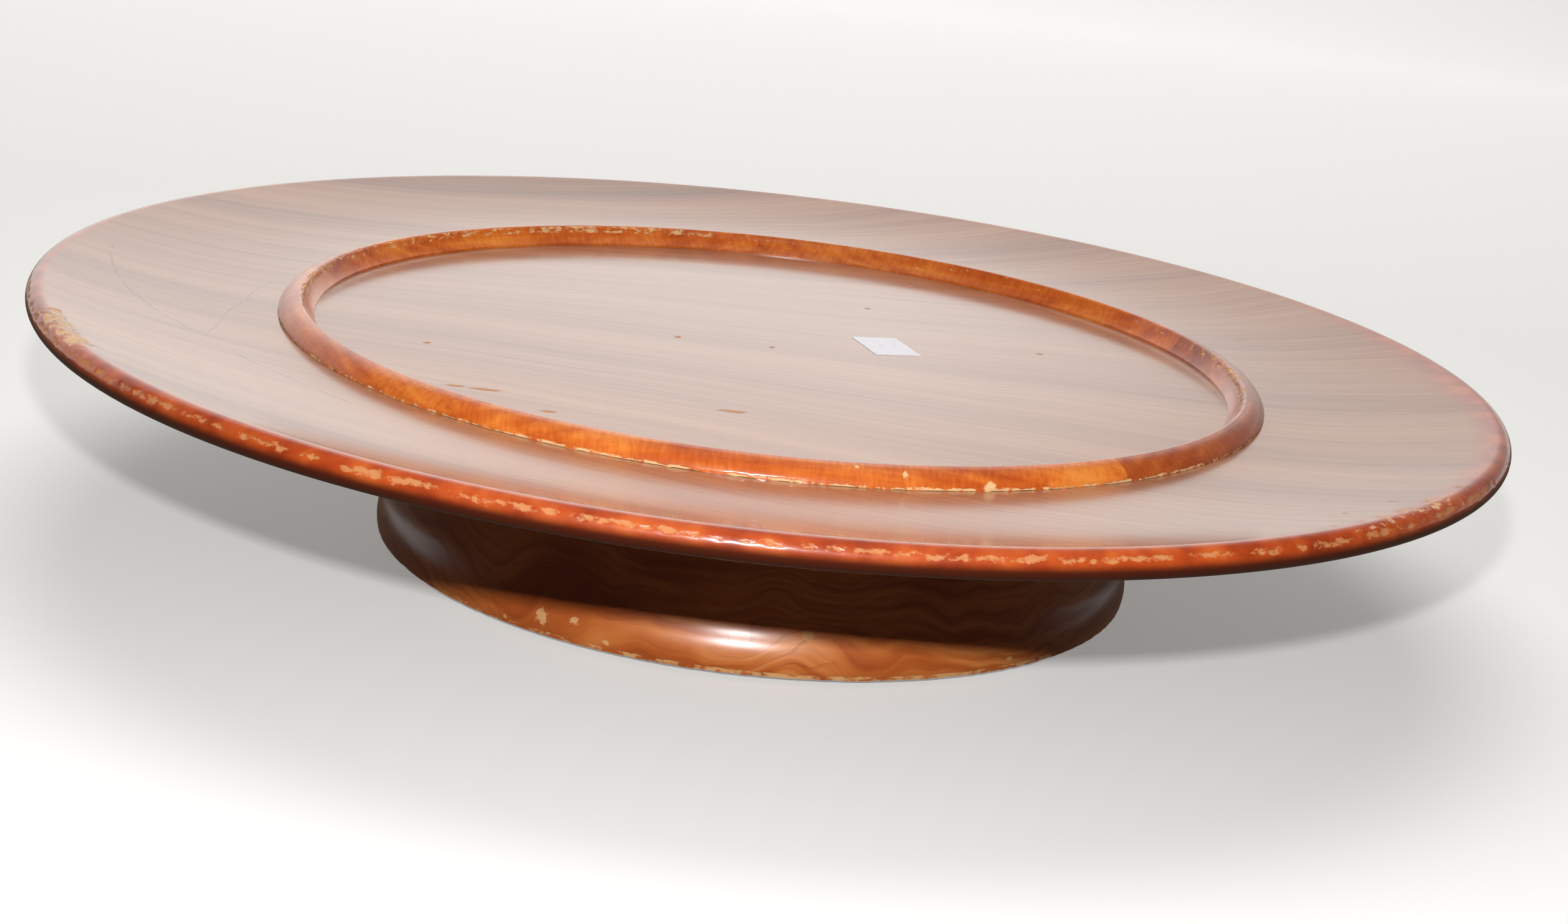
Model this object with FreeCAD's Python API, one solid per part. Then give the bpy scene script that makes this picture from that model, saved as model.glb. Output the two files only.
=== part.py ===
import FreeCAD, Part
import math
import os

# Wooden lazy susan: a dished round tray with a raised bead, turning on a ball
# swivel inside a turned base drum.  Millimetres and degrees.  The origin is on
# the table at the centre of the base, with +Z up along the spin axis.

# ---- tray board and its applied bead
tray_diameter = 457.2
board_thickness = 8.0
edge_slope = 12.9
bead_outer_radius = 155.5
bead_width = 11.0
bead_height = 6.3
bead_lip = 0.7
bead_step_inset = 4.0
field_recess = 1.2
bead_crest_inset = 4.9
bead_crest_round = 1.4
bead_hollow = 0.35
bead_swell = 0.7
bead_segments = 5
bead_start_angle = -50.0
glue_line = 0.05

# ---- blank paper label stuck on the tray's middle
label_length = 22.5
label_width = 15.5
label_thickness = 0.15
label_x = 36.3
label_y = 15.6
label_turn = -70.0

# ---- mounting block glued under the board
block_radius = 92.0
block_thickness = 15.0
block_chamfer = 2.0

# ---- base drum, its panel and its feet
drum_height = 57.8
drum_radius = 121.5
drum_flare = 3.7
bulge_height = 3.0
bulge_round = 14.0
bulge_end_slope = 30.0
hollow_round = 14.0
drum_edge_round = 1.5
drum_bore_radius = 103.0
ledge_width = 8.0
panel_thickness = 12.0
panel_clearance = 0.2
access_hole_radius = 10.0
foot_radius = 9.0
foot_stand = 1.8
foot_recess = 1.2
foot_count = 4
foot_clearance = 0.1
tray_gap = 1.5

# ---- ball swivel: two square steel plates held by a hollow rivet
plate_side = 120.0
plate_corner_round = 8.0
plate_thickness = 1.2
race_floor = 1.225
race_radius = 45.0
race_pad_width = 12.0
race_pad_height = 2.4
ball_diameter = 6.35
ball_count = 16
race_clearance = 0.1
pocket_clearance = 0.15
cage_width = 9.0
cage_thickness = 1.2
hub_radius = 20.0
hub_rise = 1.7
rivet_radius = 7.0
rivet_bore_radius = 5.0
rivet_head_radius = 10.5
rivet_head_thickness = 1.2
running_clearance = 0.05

# ---- screws and tacks
plate_screw_circle = 72.0
plate_screw_count = 4
plate_screw_length = 10.0
panel_screw_count = 6
panel_screw_length = 16.0
screw_radius = 1.9
screw_head_radius = 3.6
screw_head_height = 2.2
screw_slot_width = 1.0
screw_slot_depth = 1.0
hole_clearance = 0.3
thread_clearance = 0.05
tack_radius = 0.8
tack_length = 10.0
tack_head_radius = 2.6
tack_head_thickness = 0.8
tack_head_inset = 0.7

# ---- sizes that follow from the ones above
tray_radius = tray_diameter / 2
edge_round = board_thickness / 2
bead_inner_radius = bead_outer_radius - bead_width
bead_step_radius = bead_inner_radius + bead_step_inset
drum_bottom = foot_stand
drum_top = drum_bottom + drum_height
board_bottom = drum_top + tray_gap
shoulder_level = board_bottom + board_thickness
field_level = shoulder_level - field_recess
block_bottom = board_bottom - block_thickness
swivel_height = ball_diameter + 2 * (race_clearance + race_floor)
swivel_bottom = block_bottom - swivel_height
panel_bottom = swivel_bottom - panel_thickness
ledge_radius = drum_bore_radius - ledge_width
foot_circle = (ledge_radius + drum_radius) / 2
foot_height = foot_stand + foot_recess
ball_radius = ball_diameter / 2
ball_level = swivel_height / 2

origin = FreeCAD.Vector(0, 0, 0)
up = FreeCAD.Vector(0, 0, 1)


def at(radius, height):
    """A point of a profile, by its distance from the spin axis and its height."""
    return FreeCAD.Vector(radius, 0, height)


def around(radius, angle, height=0.0):
    """A point on a circle about the spin axis."""
    turn = math.radians(angle)
    return FreeCAD.Vector(radius * math.cos(turn), radius * math.sin(turn), height)


def on_circle(centre, radius, angle):
    """A point of a profile, on a circle drawn in the profile's plane."""
    turn = math.radians(angle)
    return centre + at(radius * math.cos(turn), radius * math.sin(turn))


def line(start, end):
    return Part.LineSegment(start, end).toShape()


def arc(start, middle, end):
    return Part.Arc(start, middle, end).toShape()


def arc_about(centre, radius, start_angle, end_angle):
    """An arc of a profile from one angle to another about its centre."""
    middle_angle = (start_angle + end_angle) / 2
    start = on_circle(centre, radius, start_angle)
    middle = on_circle(centre, radius, middle_angle)
    end = on_circle(centre, radius, end_angle)
    return arc(start, middle, end)


def turned(edges, sweep=360.0, start_angle=0.0):
    """The solid that a closed profile sweeps round the spin axis."""
    solid = Part.Face(Part.Wire(edges)).revolve(origin, up, sweep)
    solid.rotate(origin, up, start_angle)
    return solid


def outline(points):
    """Straight edges through a closed list of points."""
    return [line(a, b) for a, b in zip(points, points[1:] + points[:1])]


def disc(radius, bottom, height, centre=origin):
    return Part.makeCylinder(radius, height, centre + up * bottom)


def ring(outer_radius, inner_radius, bottom, height):
    return disc(outer_radius, bottom, height).cut(disc(inner_radius, bottom, height))


def spots(circle_radius, count, first_angle):
    """Evenly spaced points round the spin axis, with their angles."""
    angles = [first_angle + 360.0 * i / count for i in range(count)]
    return [(around(circle_radius, angle), angle) for angle in angles]


# ---- the dish of the board: an arc that leaves the level shoulder under the
# bead without a kink and meets the rounded edge at the edge's slope
dish_end_radius = tray_radius - edge_round - edge_round * math.sin(math.radians(edge_slope))
dish_start_radius = bead_step_radius
dish_radius = (dish_end_radius - dish_start_radius) / math.sin(math.radians(edge_slope))
dish_centre = at(dish_start_radius, shoulder_level + dish_radius)
flat_angle = -90.0
dish_end_angle = flat_angle + edge_slope


def board_level(radius):
    """Height of the dished top face at a distance from the spin axis."""
    run = radius - dish_start_radius
    return dish_centre.z - math.sqrt(dish_radius**2 - run**2)


def make_tray_board():
    top_arc = arc_about(dish_centre, dish_radius, flat_angle, dish_end_angle)
    under_radius = dish_radius + board_thickness
    under_arc = arc_about(dish_centre, under_radius, flat_angle, dish_end_angle)
    edge_centre = on_circle(dish_centre, dish_radius + edge_round, dish_end_angle)
    edge_arc = arc_about(edge_centre, edge_round, dish_end_angle + 180, dish_end_angle)
    return turned([
        line(at(0, board_bottom), at(0, field_level)),
        line(at(0, field_level), at(bead_step_radius, field_level)),
        line(at(bead_step_radius, field_level), at(bead_step_radius, shoulder_level)),
        top_arc,
        edge_arc,
        under_arc,
        line(at(dish_start_radius, board_bottom), at(0, board_bottom)),
    ])


def bead_profile():
    """Stepped foot, a hollow inner side, a round crest and a full outer side."""
    crest_radius = bead_inner_radius + bead_crest_inset
    crest_level = field_level + bead_height - bead_crest_round
    crest_centre = at(crest_radius, crest_level)
    inner_foot = at(bead_inner_radius, field_level)
    outer_foot = at(bead_outer_radius, board_level(bead_outer_radius))
    inner_lip = inner_foot + up * bead_lip
    outer_lip = outer_foot + up * bead_lip
    crest_in = on_circle(crest_centre, bead_crest_round, 150)
    crest_top = on_circle(crest_centre, bead_crest_round, 110)
    crest_out = on_circle(crest_centre, bead_crest_round, 72)
    hollow = (inner_lip + crest_in) * 0.5 + at(bead_hollow, -bead_hollow)
    swell = (crest_out + outer_lip) * 0.5 + at(bead_swell, bead_swell)
    step_foot = at(bead_step_radius, field_level)
    step_top = at(bead_step_radius, shoulder_level)
    seat_radius = (bead_step_radius + bead_outer_radius) / 2
    seat = at(seat_radius, board_level(seat_radius))
    return [
        line(inner_foot, inner_lip),
        arc(inner_lip, hollow, crest_in),
        arc(crest_in, crest_top, crest_out),
        arc(crest_out, swell, outer_lip),
        line(outer_lip, outer_foot),
        arc(outer_foot, seat, step_top),
        line(step_top, step_foot),
        line(step_foot, inner_foot),
    ]


def make_bead_segment(index):
    glue_angle = math.degrees(glue_line / bead_outer_radius)
    step = 360.0 / bead_segments
    return turned(bead_profile(), step - glue_angle, bead_start_angle + index * step)


def make_blank_label():
    low = FreeCAD.Vector(-label_length / 2, -label_width / 2, 0)
    label = Part.makeBox(label_length, label_width, label_thickness, low)
    label.rotate(origin, up, label_turn)
    label.translate(FreeCAD.Vector(label_x, label_y, field_level))
    return label


def screw(length):
    """A slotted round-head wood screw, head up, seated at the origin."""
    head = disc(screw_head_radius, 0, screw_head_height)
    rim = head.Edges[0]
    head = head.makeFillet(screw_head_height / 2, [rim])
    slot_low = FreeCAD.Vector(-screw_head_radius, -screw_slot_width / 2, 0)
    slot_level = screw_head_height - screw_slot_depth
    slot = Part.makeBox(2 * screw_head_radius, screw_slot_width, screw_slot_depth,
                        slot_low + up * slot_level)
    tip_length = 2 * screw_radius
    shank = disc(screw_radius, tip_length - length, length - tip_length)
    tip = Part.makeCone(0, screw_radius, tip_length, up * -length)
    return head.cut(slot).fuse([shank, tip]).removeSplitter()


def placed(shape, spot, angle, height, upside_down=False):
    copy = shape.copy()
    if upside_down:
        copy.rotate(origin, FreeCAD.Vector(1, 0, 0), 180)
    copy.rotate(origin, up, angle)
    copy.translate(spot + up * height)
    return copy


# ---- where the screws and the feet go
lower_screw_spots = spots(plate_screw_circle, plate_screw_count, 45.0)
upper_screw_spots = spots(plate_screw_circle, plate_screw_count, 0.0)
panel_screw_circle = (drum_bore_radius + ledge_radius) / 2
panel_screw_spots = spots(panel_screw_circle, panel_screw_count, 15.0)
foot_spots = spots(foot_circle, foot_count, 45.0)
access_spot = upper_screw_spots[0][0]
screw_hole_radius = screw_radius + hole_clearance
pilot_radius = screw_radius + thread_clearance


def make_mounting_block():
    block = disc(block_radius, block_bottom, block_thickness)
    lower_rim = [edge for edge in block.Edges
                 if abs(edge.BoundBox.ZMax - block_bottom) < glue_line
                 and edge.Length > block_radius]
    block = block.makeChamfer(block_chamfer, lower_rim)
    reach = plate_screw_length - plate_thickness + thread_clearance
    for spot, angle in upper_screw_spots:
        block = block.cut(disc(pilot_radius, block_bottom, reach, spot))
    return block


def make_swivel_plate(turn):
    """A plate lying face up at height 0: square flange, race pad and raised hub."""
    half = plate_side / 2
    sheet = Part.makeBox(plate_side, plate_side, plate_thickness, FreeCAD.Vector(-half, -half, 0))
    corners = [edge for edge in sheet.Edges
               if edge.BoundBox.ZLength > plate_thickness / 2]
    sheet = sheet.makeFillet(plate_corner_round, corners)
    pad_outer = race_radius + race_pad_width / 2
    pad_inner = race_radius - race_pad_width / 2
    pad = ring(pad_outer, pad_inner, 0, race_pad_height)
    hub = disc(hub_radius, hub_rise, plate_thickness)
    hub_wall = ring(hub_radius, hub_radius - plate_thickness, 0, hub_rise)
    plate = sheet.cut(disc(hub_radius - plate_thickness, 0, plate_thickness))
    plate = plate.fuse([pad, hub_wall, hub]).removeSplitter()
    groove = Part.makeTorus(race_radius, ball_radius + race_clearance, up * ball_level)
    plate = plate.cut(groove)
    for spot, angle in spots(plate_screw_circle, plate_screw_count, 45.0):
        plate = plate.cut(disc(screw_hole_radius, 0, plate_thickness, spot))
    plate.rotate(origin, up, turn)
    return plate


def make_swivel_lower_plate():
    plate = make_swivel_plate(0.0)
    plate = plate.cut(disc(rivet_radius, 0, swivel_height))
    plate.translate(up * swivel_bottom)
    return plate


def make_swivel_upper_plate():
    plate = make_swivel_plate(45.0)
    plate = plate.cut(disc(rivet_radius + running_clearance, 0, swivel_height))
    plate.rotate(origin, FreeCAD.Vector(1, 0, 0), 180)
    plate.translate(up * block_bottom)
    return plate


def make_swivel_rivet():
    """Hollow rivet: fast in the lower hub, with running clearance in the upper."""
    lower_head = hub_rise - rivet_head_thickness
    shank_top = swivel_height - hub_rise + race_clearance
    shank = disc(rivet_radius, hub_rise, shank_top - hub_rise)
    foot = disc(rivet_head_radius, lower_head, rivet_head_thickness)
    cap = disc(rivet_head_radius, shank_top, rivet_head_thickness)
    rivet = shank.fuse([foot, cap]).removeSplitter()
    rivet = rivet.cut(disc(rivet_bore_radius, 0, swivel_height))
    rivet.translate(up * swivel_bottom)
    return rivet


def make_ball_cage():
    bottom = swivel_bottom + ball_level - cage_thickness / 2
    cage = ring(race_radius + cage_width / 2, race_radius - cage_width / 2, bottom,
                cage_thickness)
    for spot, angle in spots(race_radius, ball_count, 0.0):
        cage = cage.cut(disc(ball_radius + pocket_clearance, bottom, cage_thickness, spot))
    return cage


def make_swivel_balls():
    level = up * (swivel_bottom + ball_level)
    return Part.Compound([Part.makeSphere(ball_radius, spot + level)
                          for spot, angle in spots(race_radius, ball_count, 0.0)])


def make_lower_plate_screws():
    one = screw(plate_screw_length)
    level = swivel_bottom + plate_thickness
    return Part.Compound([placed(one, spot, angle, level)
                          for spot, angle in lower_screw_spots])


def make_upper_plate_screws():
    one = screw(plate_screw_length)
    level = block_bottom - plate_thickness
    return Part.Compound([placed(one, spot, angle, level, upside_down=True)
                          for spot, angle in upper_screw_spots])


def make_base_panel():
    """Round board on the drum's ledge, with a hole to reach the upper screws."""
    panel = disc(drum_bore_radius - panel_clearance, panel_bottom, panel_thickness)
    panel = panel.cut(disc(access_hole_radius, panel_bottom, panel_thickness, access_spot))
    reach = plate_screw_length - plate_thickness + thread_clearance
    for spot, angle in lower_screw_spots:
        panel = panel.cut(disc(pilot_radius, swivel_bottom - reach, reach, spot))
    head_space = screw_head_radius + hole_clearance
    for spot, angle in panel_screw_spots:
        panel = panel.cut(disc(screw_hole_radius, panel_bottom, panel_thickness, spot))
        panel = panel.cut(disc(head_space, swivel_bottom - screw_head_height,
                               screw_head_height, spot))
    return panel


def make_panel_screws():
    one = screw(panel_screw_length)
    level = swivel_bottom - screw_head_height
    return Part.Compound([placed(one, spot, angle, level)
                          for spot, angle in panel_screw_spots])


def make_base_drum():
    """Turned wall: full bulge at the foot, hollow waist, slight flare at the top."""
    bulge_centre = at(drum_radius - bulge_round, drum_bottom + bulge_height)
    foot_angle = -math.degrees(math.asin(bulge_height / bulge_round))
    bulge = arc_about(bulge_centre, bulge_round, foot_angle, bulge_end_slope)
    bulge_foot = on_circle(bulge_centre, bulge_round, foot_angle)
    hollow_centre = on_circle(bulge_centre, bulge_round + hollow_round, bulge_end_slope)
    hollow = arc_about(hollow_centre, hollow_round, bulge_end_slope + 180, 180)
    waist = hollow_centre - at(hollow_round, 0)
    drum_top_radius = waist.x + drum_flare
    flare_height = drum_top - drum_edge_round - waist.z
    flare_round = (flare_height**2 + drum_flare**2) / (2 * drum_flare)
    flare_angle = math.degrees(math.asin(flare_height / flare_round))
    flare = arc_about(waist + at(flare_round, 0), flare_round, 180, 180 - flare_angle)
    edge_centre = at(drum_top_radius - drum_edge_round, drum_top - drum_edge_round)
    top_edge = arc_about(edge_centre, drum_edge_round, 0, 90)
    rim_start = at(drum_top_radius - drum_edge_round, drum_top)
    drum = turned([
        bulge,
        hollow,
        flare,
        top_edge,
        line(rim_start, at(drum_bore_radius, drum_top)),
        line(at(drum_bore_radius, drum_top), at(drum_bore_radius, panel_bottom)),
        line(at(drum_bore_radius, panel_bottom), at(ledge_radius, panel_bottom)),
        line(at(ledge_radius, panel_bottom), at(ledge_radius, drum_bottom)),
        line(at(ledge_radius, drum_bottom), bulge_foot),
    ])
    screw_reach = panel_screw_length + screw_head_height + thread_clearance
    for spot, angle in panel_screw_spots:
        drum = drum.cut(disc(pilot_radius, swivel_bottom - screw_reach, screw_reach, spot))
    tack_reach = tack_head_inset + tack_head_thickness + tack_length + thread_clearance
    for spot, angle in foot_spots:
        drum = drum.cut(disc(foot_radius + foot_clearance, drum_bottom, foot_recess, spot))
        drum = drum.cut(disc(tack_radius + thread_clearance, drum_bottom,
                             tack_reach - drum_bottom, spot))
    return drum


def make_foot(spot):
    foot = disc(foot_radius, 0, foot_height, spot)
    head_top = tack_head_inset + tack_head_thickness
    foot = foot.cut(disc(tack_head_radius + thread_clearance, 0, head_top, spot))
    return foot.cut(disc(tack_radius + thread_clearance, 0, foot_height, spot))


def make_foot_tacks():
    head = disc(tack_head_radius, tack_head_inset, tack_head_thickness)
    shank = disc(tack_radius, tack_head_inset + tack_head_thickness, tack_length)
    one = head.fuse(shank).removeSplitter()
    return Part.Compound([placed(one, spot, angle, 0.0) for spot, angle in foot_spots])


nodes = {
    "tray_board": make_tray_board(),
    "blank_label": make_blank_label(),
    "mounting_block": make_mounting_block(),
    "swivel_upper_plate": make_swivel_upper_plate(),
    "upper_plate_screws": make_upper_plate_screws(),
    "ball_cage": make_ball_cage(),
    "swivel_balls": make_swivel_balls(),
    "swivel_rivet": make_swivel_rivet(),
    "swivel_lower_plate": make_swivel_lower_plate(),
    "lower_plate_screws": make_lower_plate_screws(),
    "base_panel": make_base_panel(),
    "panel_screws": make_panel_screws(),
    "base_drum": make_base_drum(),
    "foot_tacks": make_foot_tacks(),
}
for index in range(bead_segments):
    nodes["bead_segment_%d" % (index + 1)] = make_bead_segment(index)
for index, (spot, angle) in enumerate(foot_spots):
    nodes["foot_%d" % (index + 1)] = make_foot(spot)

os.makedirs("parts", exist_ok=True)
for name, shape in nodes.items():
    print(name, shape.isValid(), len(shape.Solids), round(shape.Volume), "mm3")
    shape.exportStep("parts/%s.step" % name)
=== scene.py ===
import math

import bmesh
import bpy
from mathutils import Matrix, Vector


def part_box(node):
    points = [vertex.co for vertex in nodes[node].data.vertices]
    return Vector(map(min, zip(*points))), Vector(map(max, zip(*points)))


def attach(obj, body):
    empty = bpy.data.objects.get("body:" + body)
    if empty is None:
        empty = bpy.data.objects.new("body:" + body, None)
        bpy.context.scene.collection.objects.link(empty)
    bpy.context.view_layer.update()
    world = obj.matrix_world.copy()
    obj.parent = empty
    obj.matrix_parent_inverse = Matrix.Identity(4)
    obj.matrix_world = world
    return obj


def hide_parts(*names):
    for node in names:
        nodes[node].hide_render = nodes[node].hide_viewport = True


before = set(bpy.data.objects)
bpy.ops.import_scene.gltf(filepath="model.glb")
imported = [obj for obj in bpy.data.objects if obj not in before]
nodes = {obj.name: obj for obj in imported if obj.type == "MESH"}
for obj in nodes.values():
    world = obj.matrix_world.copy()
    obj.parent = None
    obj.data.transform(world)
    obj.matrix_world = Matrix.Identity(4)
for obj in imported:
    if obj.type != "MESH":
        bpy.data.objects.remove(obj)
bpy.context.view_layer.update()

# ---- base drum
# A turned wall of figured, cherry-toned hardwood with a full bulge at the foot and
# a hollow waist, under clear gloss lacquer.  The panel and the feet are fixed to it.
drum_low, drum_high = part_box("base_drum")
drum_bottom = drum_low.z
drum_top = drum_high.z
drum_radius = min(drum_high.x, drum_high.y, -drum_low.x, -drum_low.y)
bulge_height = 0.003
bulge_round = 0.014
bulge_end_slope = 30.0
hollow_round = 0.014
drum_flare = 0.0037
drum_edge_round = 0.0015
drum_bore_radius = 0.103
ledge_radius = 0.095
panel_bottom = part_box("base_panel")[0].z
drum_steps = 900
drum_chip = 0.0022
drum_chip_depth = 0.00012
rubbed_foot = 5
chip_stretch = (0.5, 0.5, 1.0)
chip_start = 0.80
chip_spread = 0.36
chip_softness = 0.09
smooth_below = math.radians(35)
weld_distance = 1e-6


def linear(colour):
    """An sRGB hex colour as the linear RGBA that a shader takes."""
    values = [int(colour[i:i + 2], 16) / 255 for i in (1, 3, 5)]
    return [v / 12.92 if v <= 0.04045 else ((v + 0.055) / 1.055)**2.4 for v in values] + [1.0]


def add(tree, kind, inputs=None, **settings):
    """Adds a node with its settings; an input takes a value, a socket or a node."""
    node = tree.nodes.new(kind)
    for name, value in settings.items():
        if name == "stops":
            ramp = node.color_ramp
            ramp.elements[0].position = value[0][0]
            ramp.elements[1].position = value[-1][0]
            for position, colour in value[1:-1]:
                ramp.elements.new(position)
            for element, (position, colour) in zip(ramp.elements, value):
                element.color = linear(colour)
        elif name == "points":
            curve = node.mapping.curves[0]
            curve.points[0].location = value[0]
            curve.points[1].location = value[-1]
            for x, y in value[1:-1]:
                curve.points.new(x, y)
            for point in curve.points:
                point.handle_type = "VECTOR"
            node.mapping.update()
        else:
            setattr(node, name, value)
    for name, source in (inputs or {}).items():
        if isinstance(source, bpy.types.Node):
            source = source.outputs[0]
        if isinstance(source, bpy.types.NodeSocket):
            tree.links.new(source, node.inputs[name])
        else:
            node.inputs[name].default_value = source
    return node


def chips(tree, place, size, wear):
    """1 where the finish has broken away: ragged patches, longer than they are tall, that
    spread as wear grows."""
    level = add(tree, "ShaderNodeVectorMath", {0: place, 1: chip_stretch},
                operation="MULTIPLY")
    ragged = add(tree, "ShaderNodeTexNoise", {
        "Vector": level, "Scale": 1 / size, "Detail": 5.0, "Roughness": 0.66})
    low = add(tree, "ShaderNodeMath", {0: wear, 1: -chip_spread, 2: chip_start},
              operation="MULTIPLY_ADD")
    high = add(tree, "ShaderNodeMath", {0: low, 1: chip_softness}, operation="ADD")
    return add(tree, "ShaderNodeMapRange", {"Value": ragged, "From Min": low, "From Max": high})


def turned_tree(name, worn_a, worn_b):
    """Geometry Nodes: a profile swept round the spin axis, then chipped where it is worn.
    worn_a and worn_b give the amount of wear at azimuths for the profile's two zones."""
    tree = bpy.data.node_groups.new(name, "GeometryNodeTree")
    for label, kind in (("Profile", "Geometry"), ("Steps", "Int"), ("Sweep", "Float"),
                        ("Start", "Float"), ("Tone", "Float"), ("Chip size", "Float"),
                        ("Chip depth", "Float"), ("Finish", "Material")):
        tree.interface.new_socket(label, in_out="INPUT", socket_type="NodeSocket" + kind)
    tree.interface.new_socket("Piece", in_out="OUTPUT", socket_type="NodeSocketGeometry")
    given = add(tree, "NodeGroupInput").outputs
    size = add(tree, "GeometryNodeAttributeDomainSize", {"Geometry": given["Profile"]})
    count = size.outputs["Point Count"]
    columns = add(tree, "ShaderNodeMath", {0: given["Steps"], 1: 1.0}, operation="ADD")
    grid = add(tree, "GeometryNodeMeshGrid", {"Vertices X": columns, "Vertices Y": count})
    index = add(tree, "GeometryNodeInputIndex")
    ratio = add(tree, "ShaderNodeMath", {0: index, 1: count}, operation="DIVIDE")
    column = add(tree, "ShaderNodeMath", {0: ratio}, operation="FLOOR")
    whole = add(tree, "ShaderNodeMath", {0: column, 1: count}, operation="MULTIPLY")
    row = add(tree, "ShaderNodeMath", {0: index, 1: whole}, operation="SUBTRACT")
    share = add(tree, "ShaderNodeMath", {0: column, 1: given["Steps"]}, operation="DIVIDE")
    turn = add(tree, "ShaderNodeMath", {0: share, 1: given["Sweep"], 2: given["Start"]},
               operation="MULTIPLY_ADD")
    at = add(tree, "GeometryNodeSampleIndex", {
        "Geometry": given["Profile"], "Value": add(tree, "GeometryNodeInputPosition"),
        "Index": row}, data_type="FLOAT_VECTOR")
    bare = add(tree, "GeometryNodeSetPosition", {
        "Geometry": grid.outputs["Mesh"],
        "Position": add(tree, "ShaderNodeVectorRotate", {"Vector": at, "Angle": turn},
                        rotation_type="Z_AXIS")})
    flow = bare.outputs["Geometry"]
    place = add(tree, "GeometryNodeInputPosition")
    part = add(tree, "ShaderNodeSeparateXYZ", {0: place})
    azimuth = add(tree, "ShaderNodeMath", {0: part.outputs["Y"], 1: part.outputs["X"]},
                  operation="ARCTAN2")
    round_share = add(tree, "ShaderNodeMath", {0: azimuth, 1: 0.5 / math.pi, 2: 0.5},
                      operation="MULTIPLY_ADD")
    for zone, worn in (("a", worn_a), ("b", worn_b)):
        mark = add(tree, "GeometryNodeInputNamedAttribute", {"Name": "zone_" + zone},
                   data_type="FLOAT")
        here = add(tree, "GeometryNodeSampleIndex", {
            "Geometry": given["Profile"], "Value": mark, "Index": row}, data_type="FLOAT")
        amount = add(tree, "ShaderNodeFloatCurve", {"Value": round_share},
                     points=[(angle / 360 + 0.5, y) for angle, y in worn])
        wear = add(tree, "ShaderNodeMath", {0: here, 1: amount}, operation="MULTIPLY")
        flow = add(tree, "GeometryNodeStoreNamedAttribute", {
            "Geometry": flow, "Name": "wear_" + zone, "Value": wear},
            data_type="FLOAT", domain="POINT").outputs[0]
    flow = add(tree, "GeometryNodeStoreNamedAttribute", {
        "Geometry": flow, "Name": "tone", "Value": given["Tone"]},
        data_type="FLOAT", domain="POINT").outputs[0]
    half = add(tree, "ShaderNodeMath", {0: given["Sweep"], 1: 0.5, 2: given["Start"]},
               operation="MULTIPLY_ADD")
    flow = add(tree, "GeometryNodeStoreNamedAttribute", {
        "Geometry": flow, "Name": "board_turn", "Value": half},
        data_type="FLOAT", domain="POINT").outputs[0]
    flow = add(tree, "GeometryNodeMergeByDistance", {
        "Geometry": flow, "Distance": weld_distance}).outputs[0]
    chips_per_metre = add(tree, "ShaderNodeMath", {0: 1.0, 1: given["Chip size"]},
                          operation="DIVIDE")
    scaled = add(tree, "ShaderNodeVectorMath", {0: place, "Scale": chips_per_metre},
                 operation="SCALE")
    broken = [chips(tree, scaled, 1.0, add(tree, "GeometryNodeInputNamedAttribute", {
        "Name": "wear_" + zone}, data_type="FLOAT")) for zone in "ab"]
    either = add(tree, "ShaderNodeMath", {0: broken[0], 1: broken[1]}, operation="MAXIMUM")
    depth = add(tree, "ShaderNodeMath", {0: either, 1: given["Chip depth"]},
                operation="MULTIPLY")
    inward = add(tree, "ShaderNodeMath", {0: depth, 1: -1.0}, operation="MULTIPLY")
    push = add(tree, "ShaderNodeVectorMath", {
        0: add(tree, "GeometryNodeInputNormal"), "Scale": inward}, operation="SCALE")
    flow = add(tree, "GeometryNodeSetPosition", {"Geometry": flow, "Offset": push})
    flow = add(tree, "GeometryNodeRealizeInstances", {"Geometry": flow})
    flow = add(tree, "GeometryNodeSetMaterial", {
        "Geometry": flow, "Material": given["Finish"]})
    add(tree, "NodeGroupOutput", {"Piece": flow})
    return tree


def turned(name, tree, profile, steps, finish, chip_size, chip_depth, sweep=360.0,
           start=0.0, tone=0.5):
    """A plain mesh made by the lathe tree.  Profile points are (radius, height, zone a,
    zone b), and go outwards along the bottom and back inwards along the top."""
    mesh = bpy.data.meshes.new(name + "_profile")
    mesh.from_pydata([(r, 0, z) for r, z, a, b in profile], [], [])
    for column, zone in ((2, "zone_a"), (3, "zone_b")):
        marks = mesh.attributes.new(zone, "FLOAT", "POINT")
        marks.data.foreach_set("value", [point[column] for point in profile])
    blank = bpy.data.objects.new(name + "_profile", mesh)
    bpy.context.scene.collection.objects.link(blank)
    lathe = blank.modifiers.new("lathe", "NODES")
    lathe.node_group = tree
    wanted = {"Steps": steps, "Sweep": math.radians(sweep), "Start": math.radians(start),
              "Tone": tone, "Chip size": chip_size, "Chip depth": chip_depth,
              "Finish": finish}
    for socket in tree.interface.items_tree:
        if socket.name in wanted:
            lathe[socket.identifier] = wanted[socket.name]
    ready = blank.evaluated_get(bpy.context.evaluated_depsgraph_get())
    made = bpy.data.meshes.new_from_object(ready)
    bpy.data.objects.remove(blank)
    return finished(name, made, finish)


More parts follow.
